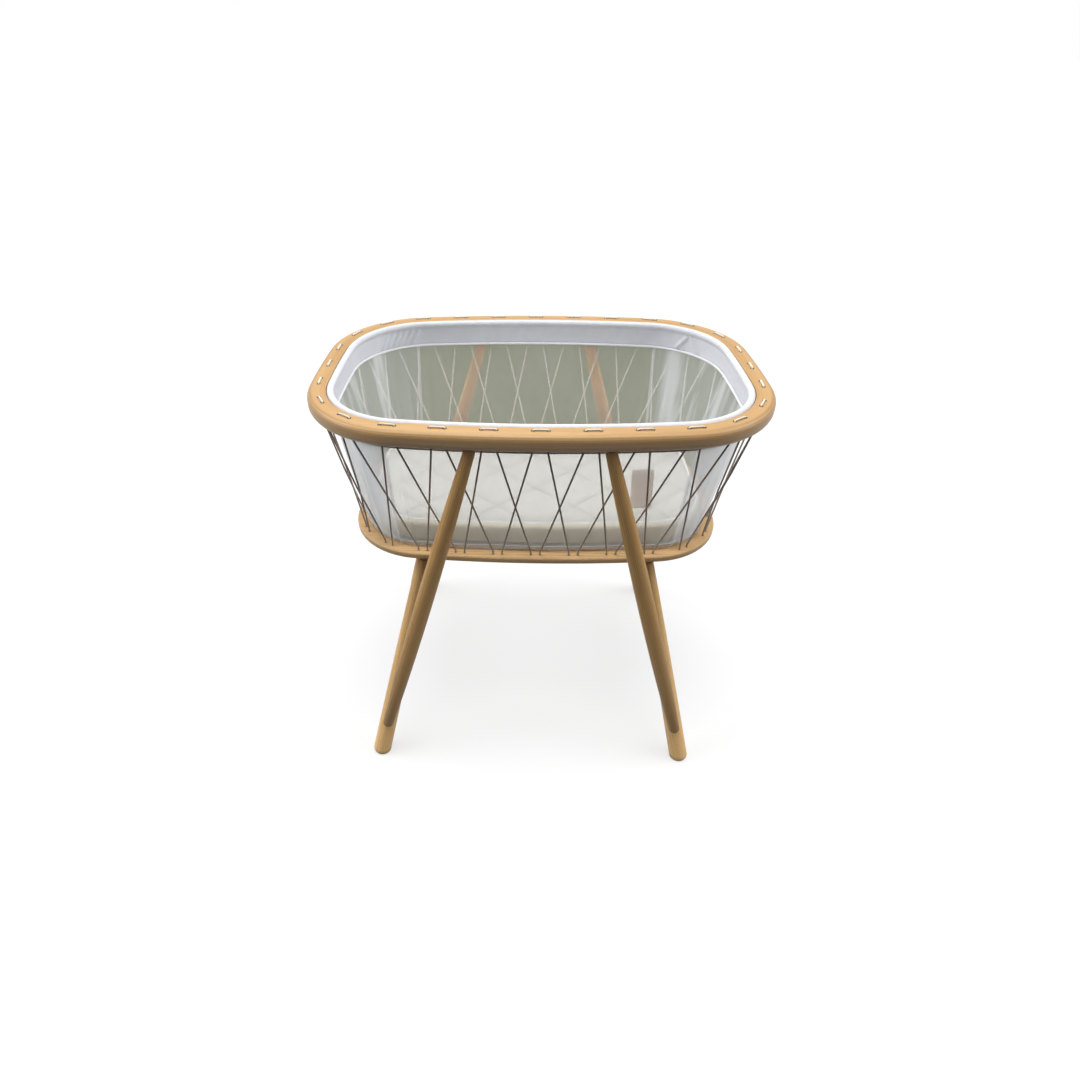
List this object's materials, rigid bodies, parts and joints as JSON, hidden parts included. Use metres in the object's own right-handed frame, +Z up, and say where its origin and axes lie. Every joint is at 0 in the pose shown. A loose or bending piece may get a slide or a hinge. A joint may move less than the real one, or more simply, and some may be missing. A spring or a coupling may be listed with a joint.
{
  "type": "bassinet on stand",
  "caption": "Oval bassinet with a bentwood rim, cord-laced basket, sheer fabric liner and mattress on splayed turned legs.",
  "frame": {"origin": "on the floor under the middle of the basket", "axes": "+Z up, +X along the long side, -Y towards the front"},
  "size_m": [0.8818, 0.649, 0.8436],
  "materials": {
    "beech": "satin varnish",
    "dark_rubber": "matte",
    "dark_painted_steel": "matte",
    "steel_fasteners": "brushed",
    "taupe_cord": "braided",
    "white_cotton": "woven",
    "fixing_tape": "hook and loop",
    "sheer_mesh": "sheer knitted mesh",
    "liner_cloth": "woven",
    "label_tape": "satin ribbon",
    "mattress_cotton": "woven",
    "foam": "open-cell foam"
  },
  "bodies": {
    "stand": {"base_board": "beech", "bracket_screws": "steel_fasteners", "care_label": "label_tape", "floor_leg_front_left": "beech", "floor_leg_front_right": "beech", "floor_leg_rear_left": "beech", "floor_leg_rear_right": "beech", "foot_dowels": "beech", "foot_pad_front_left": "dark_rubber", "foot_pad_front_right": "dark_rubber", "foot_pad_rear_left": "dark_rubber", "foot_pad_rear_right": "dark_rubber", "lacing_cord_a": "taupe_cord", "lacing_cord_b": "taupe_cord", "leg_bolts": "steel_fasteners", "leg_collar_front_left": "beech", "leg_collar_front_right": "beech", "leg_collar_rear_left": "beech", "leg_collar_rear_right": "beech", "leg_inserts": "steel_fasteners", "liner_band": "white_cotton", "liner_fixing_tape": "fixing_tape", "liner_floor": "liner_cloth", "liner_piping": "white_cotton", "mesh_back": "sheer_mesh", "mesh_front": "sheer_mesh", "mesh_left": "sheer_mesh", "mesh_right": "sheer_mesh", "rim_dowels": "beech", "rim_strut_front_left": "beech", "rim_strut_front_right": "beech", "rim_strut_rear_left": "beech", "rim_strut_rear_right": "beech", "strut_bracket_front_left": "dark_painted_steel", "strut_bracket_front_right": "dark_painted_steel", "strut_bracket_rear_left": "dark_painted_steel", "strut_bracket_rear_right": "dark_painted_steel", "top_rim": "beech"},
    "mattress": {"mattress_core": "foam", "mattress_cover": "mattress_cotton"}
  },
  "joints": [
    {"name": "mattress_lift", "type": "slide", "parent": "stand", "child": "mattress", "axis": [0, 0, 1], "range_m": [0, 0.34]}
  ]
}
